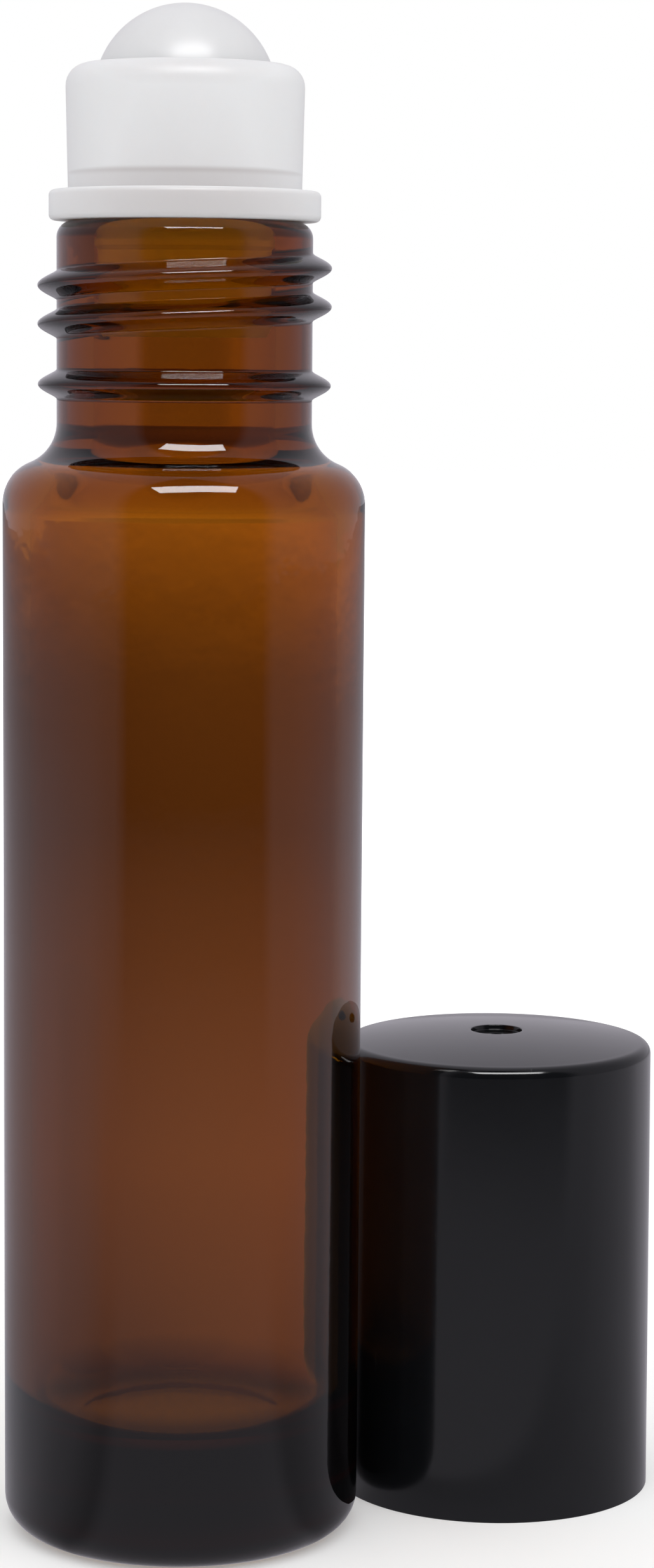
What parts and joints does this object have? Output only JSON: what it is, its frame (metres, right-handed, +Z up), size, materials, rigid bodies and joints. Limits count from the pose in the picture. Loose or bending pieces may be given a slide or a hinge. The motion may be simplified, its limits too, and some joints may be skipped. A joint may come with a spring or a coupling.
{
  "type": "roll on bottle",
  "caption": "Amber glass roll-on bottle with a press-in plastic housing, a rolling ball, and its black screw cap standing beside it.",
  "frame": {"origin": "centre of the bottle's standing face, on the bottle's axis", "axes": "+Z up the bottle's axis; +X from the bottle to the cap that stands beside it"},
  "size_m": [0.0393, 0.02, 0.0851],
  "materials": {
    "amber_glass": "clear amber, fire-polished",
    "natural_plastic": "natural, translucent, satin",
    "ball_plastic": "pale, polished",
    "black_plastic": "black, satin gloss"
  },
  "bodies": {
    "bottle": {"bottle": "amber_glass"},
    "fitment": {"roller_housing": "natural_plastic"},
    "ball": {"roller_ball": "ball_plastic"},
    "cap": {"cap": "black_plastic"}
  },
  "joints": [
    {"name": "fitment_pull", "type": "slide", "parent": "bottle", "child": "fitment", "axis": [0, 0, 1], "range_m": [0, 0.012]},
    {"name": "ball_roll", "type": "hinge", "parent": "fitment", "child": "ball", "pos_m": [0, 0, 0.08005], "axis": [1, 0, 0], "continuous": true},
    {"name": "cap_lift", "type": "slide", "parent": "bottle", "child": "cap", "axis": [0, 0, 1], "range_m": [0, 0.09]}
  ]
}
